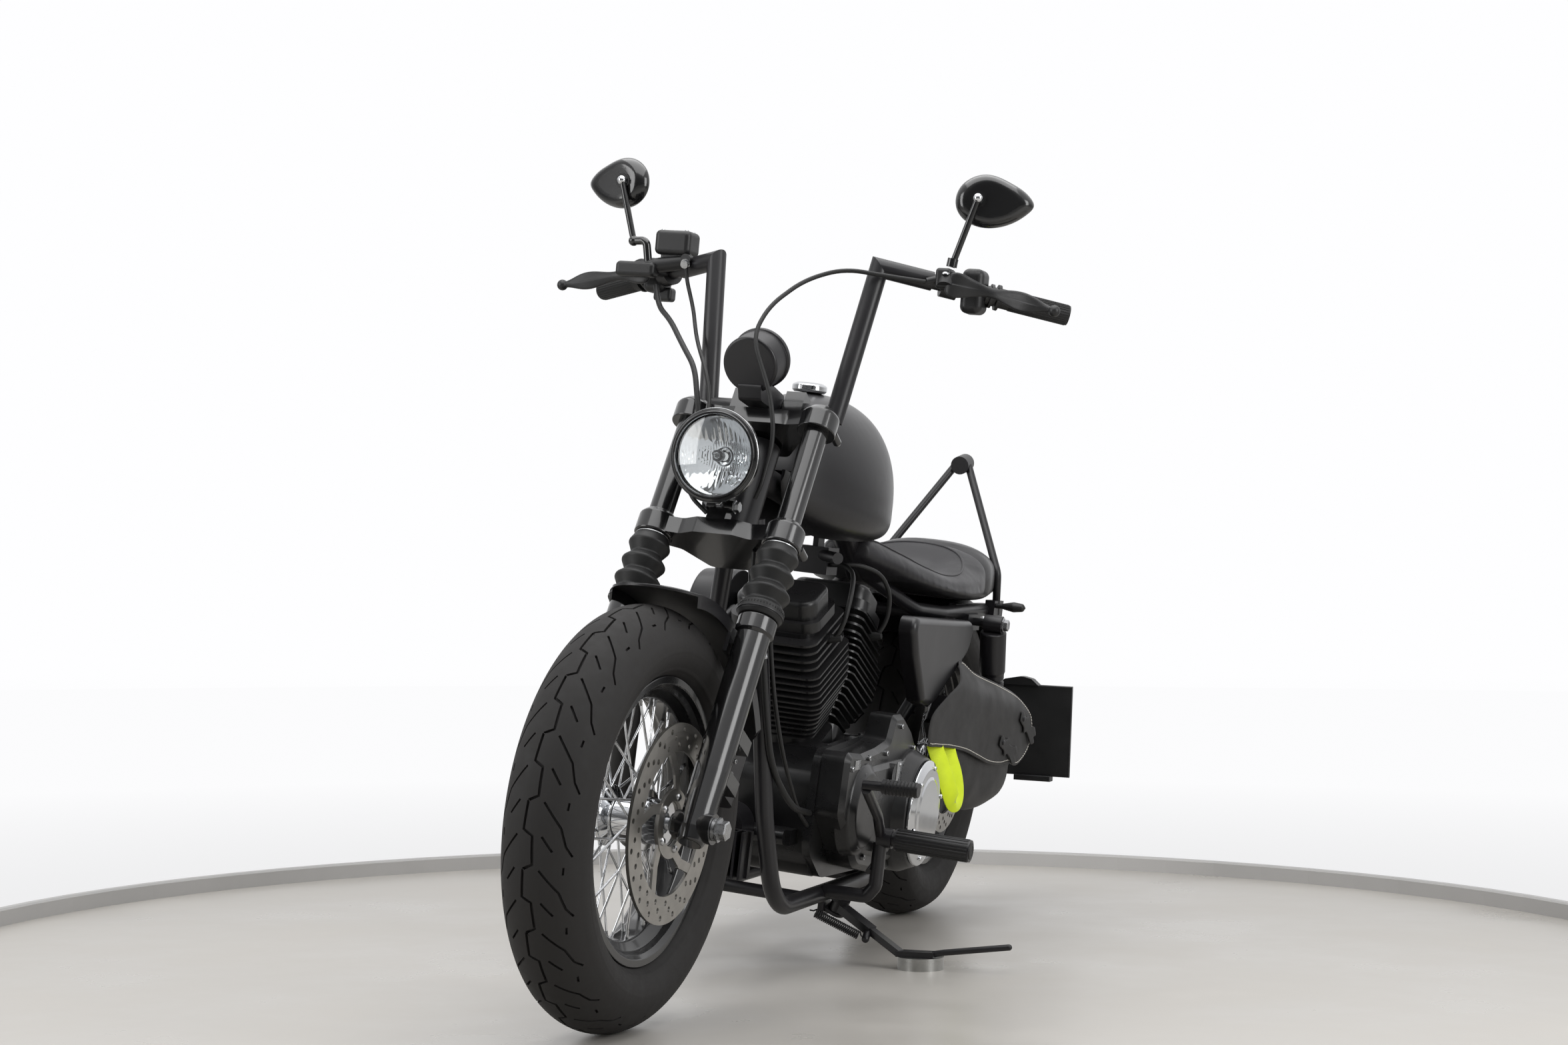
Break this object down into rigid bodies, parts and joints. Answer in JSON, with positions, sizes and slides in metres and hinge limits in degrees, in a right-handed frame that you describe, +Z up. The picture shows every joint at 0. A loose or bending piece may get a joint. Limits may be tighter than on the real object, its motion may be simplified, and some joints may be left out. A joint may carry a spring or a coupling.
{
  "type": "chopper motorcycle",
  "caption": "Bobber-style V-twin cruiser with a high bar, wire wheels and a leather side bag, leaning on its side stand.",
  "frame": {"origin": "middle of the bottom of the box around the parked machine, on the ground", "axes": "+Z up; -Y ahead; +X to the rider's left, the side that it leans to on its stand"},
  "size_m": [0.9196, 2.1649, 1.4092],
  "materials": {
    "satin_black": "satin powder coat",
    "gloss_black": "gloss enamel",
    "tank_paint": "satin clear coat",
    "muffler_black": "heat-proof satin coat",
    "chrome": "bright plated",
    "hub_black": "black anodised",
    "disc_steel": "ground",
    "axle_steel": "zinc plated",
    "turned_aluminium": "turned",
    "tyre_rubber": "moulded",
    "soft_rubber": "matt",
    "control_plastic": "fine grained",
    "lamp_glass": "clear",
    "seat_leather": "stitched",
    "bag_leather": "oiled",
    "webbing": "high-visibility webbing",
    "plate_white": "blank"
  },
  "bodies": {
    "root": {"air_cleaner": "gloss_black", "bag_loop": "webbing", "cam_cover": "gloss_black", "crankcase": "gloss_black", "cylinders": "gloss_black", "derby_cover": "chrome", "drive_belt": "soft_rubber", "engine_fittings": "hub_black", "exhaust": "muffler_black", "foot_controls": "satin_black", "frame_backbone": "satin_black", "frame_cables": "soft_rubber", "frame_cradle": "satin_black", "frame_rear": "satin_black", "fuel_cap": "chrome", "fuel_tank": "tank_paint", "licence_plate": "plate_white", "plate_carrier": "satin_black", "primary_cover": "gloss_black", "rear_caliper": "hub_black", "rear_fender": "satin_black", "rear_signals": "control_plastic", "rocker_boxes": "gloss_black", "saddlebag": "bag_leather", "seat": "seat_leather", "shocks": "gloss_black", "side_covers": "satin_black", "sissy_bar": "satin_black", "stand_puck": "turned_aluminium", "stand_spring": "axle_steel", "swingarm": "satin_black"},
    "steering": {"lower_clamp": "satin_black", "upper_clamp": "gloss_black", "fork_tubes": "satin_black", "fork_lowers": "satin_black", "fork_gaiters": "soft_rubber", "front_axle": "axle_steel", "front_caliper": "hub_black", "front_fender": "satin_black", "headlight_shell": "gloss_black", "headlight_reflector": "chrome", "headlight_lens": "lamp_glass", "handlebar": "satin_black", "grips": "soft_rubber", "left_controls": "control_plastic", "right_controls": "control_plastic", "mirrors": "control_plastic", "speedometer": "gloss_black", "fork_cables": "soft_rubber"},
    "front_wheel": {"front_tyre": "tyre_rubber", "front_rim": "satin_black", "front_hub": "hub_black", "front_disc": "disc_steel"},
    "rear_wheel": {"rear_tyre": "tyre_rubber", "rear_rim": "satin_black", "rear_hub": "hub_black", "rear_disc": "disc_steel", "rear_pulley": "hub_black"},
    "side_stand": {"side_stand": "satin_black"}
  },
  "joints": [
    {"name": "steering", "type": "hinge", "parent": "root", "child": "steering", "pos_m": [-0.09078, -0.71777, 0.29262], "axis": [0.103, 0.5, 0.8599], "range_deg": [-24.9, 31.1]},
    {"name": "front_wheel", "type": "hinge", "parent": "steering", "child": "front_wheel", "pos_m": [-0.09046, -0.76274, 0.31873], "axis": [0.9947, -0.0465, -0.0921], "continuous": true},
    {"name": "rear_wheel", "type": "hinge", "parent": "root", "child": "rear_wheel", "pos_m": [-0.08733, 0.7572, 0.32142], "axis": [0.9929, 0, -0.1189], "continuous": true},
    {"name": "side_stand", "type": "hinge", "parent": "root", "child": "side_stand", "pos_m": [-0.0171, 0.0372, 0.1005], "axis": [0.4666, -0.1697, 0.8681], "range_deg": [0, 84], "deforming": ["stand_spring"]}
  ]
}
